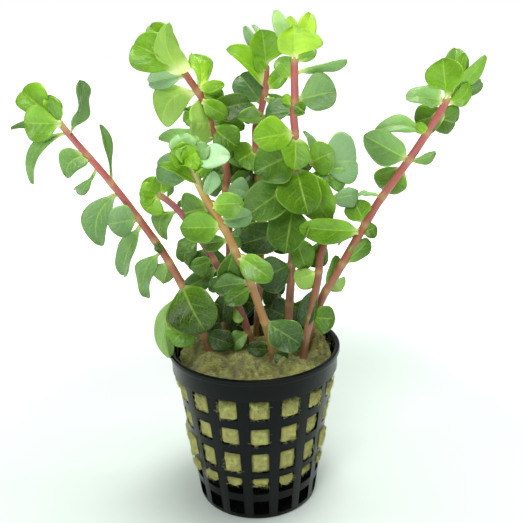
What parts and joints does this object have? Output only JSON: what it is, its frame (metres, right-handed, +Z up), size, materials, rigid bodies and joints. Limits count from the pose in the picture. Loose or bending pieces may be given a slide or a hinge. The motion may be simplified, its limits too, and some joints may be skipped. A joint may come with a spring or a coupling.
{
  "type": "potted aquarium plant",
  "caption": "Potted rotala mexicana: leafy reddish shoots rooted in a plug of growing wool, standing in a black net pot.",
  "frame": {"origin": "centre of the pot's underside", "axes": "+Z up from the pot to the shoot tips, -Y towards the side seen in the picture, +X to the right of that side"},
  "size_m": [0.125, 0.05, 0.1399],
  "materials": {
    "pot_plastic": "satin charcoal-black moulded plastic",
    "wool": "loose straw-green mineral fibres",
    "stem_skin": "smooth pinkish brown plant skin",
    "leaf": "soft glossy green leaf with paler veins"
  },
  "bodies": {
    "root": {"net_pot": "pot_plastic", "growing_wool": "wool", "stem_far_left": "stem_skin", "stem_far_right": "stem_skin", "stem_front": "stem_skin", "stem_low_left": "stem_skin", "stem_middle": "stem_skin", "stem_right": "stem_skin", "stem_tall": "stem_skin", "stem_upper_left": "stem_skin", "leaf_far_left_1": "leaf", "leaf_far_left_2": "leaf", "leaf_far_left_3": "leaf", "leaf_far_left_4": "leaf", "leaf_far_left_5": "leaf", "leaf_far_left_6": "leaf", "leaf_far_left_7": "leaf", "leaf_far_left_8": "leaf", "leaf_far_left_9": "leaf", "leaf_far_left_10": "leaf", "leaf_far_left_11": "leaf", "leaf_far_left_12": "leaf", "leaf_far_right_1": "leaf", "leaf_far_right_2": "leaf", "leaf_far_right_3": "leaf", "leaf_far_right_4": "leaf", "leaf_far_right_5": "leaf", "leaf_far_right_6": "leaf", "leaf_front_1": "leaf", "leaf_front_2": "leaf", "leaf_front_3": "leaf", "leaf_front_4": "leaf", "leaf_front_5": "leaf", "leaf_front_6": "leaf", "leaf_front_7": "leaf", "leaf_middle_1": "leaf", "leaf_middle_2": "leaf", "leaf_middle_3": "leaf", "leaf_middle_4": "leaf", "leaf_right_1": "leaf", "leaf_right_2": "leaf", "leaf_right_3": "leaf", "leaf_tall_1": "leaf", "leaf_tall_2": "leaf", "leaf_tall_3": "leaf", "leaf_tall_4": "leaf", "leaf_tall_5": "leaf", "leaf_tall_6": "leaf", "leaf_tall_7": "leaf", "leaf_tall_8": "leaf", "leaf_tall_9": "leaf", "leaf_tall_10": "leaf", "leaf_tall_11": "leaf", "leaf_upper_left_1": "leaf", "leaf_upper_left_2": "leaf", "leaf_upper_left_3": "leaf", "leaf_upper_left_4": "leaf", "leaf_upper_left_5": "leaf", "leaf_upper_left_6": "leaf", "leaf_upper_left_7": "leaf"}
  },
  "joints": []
}
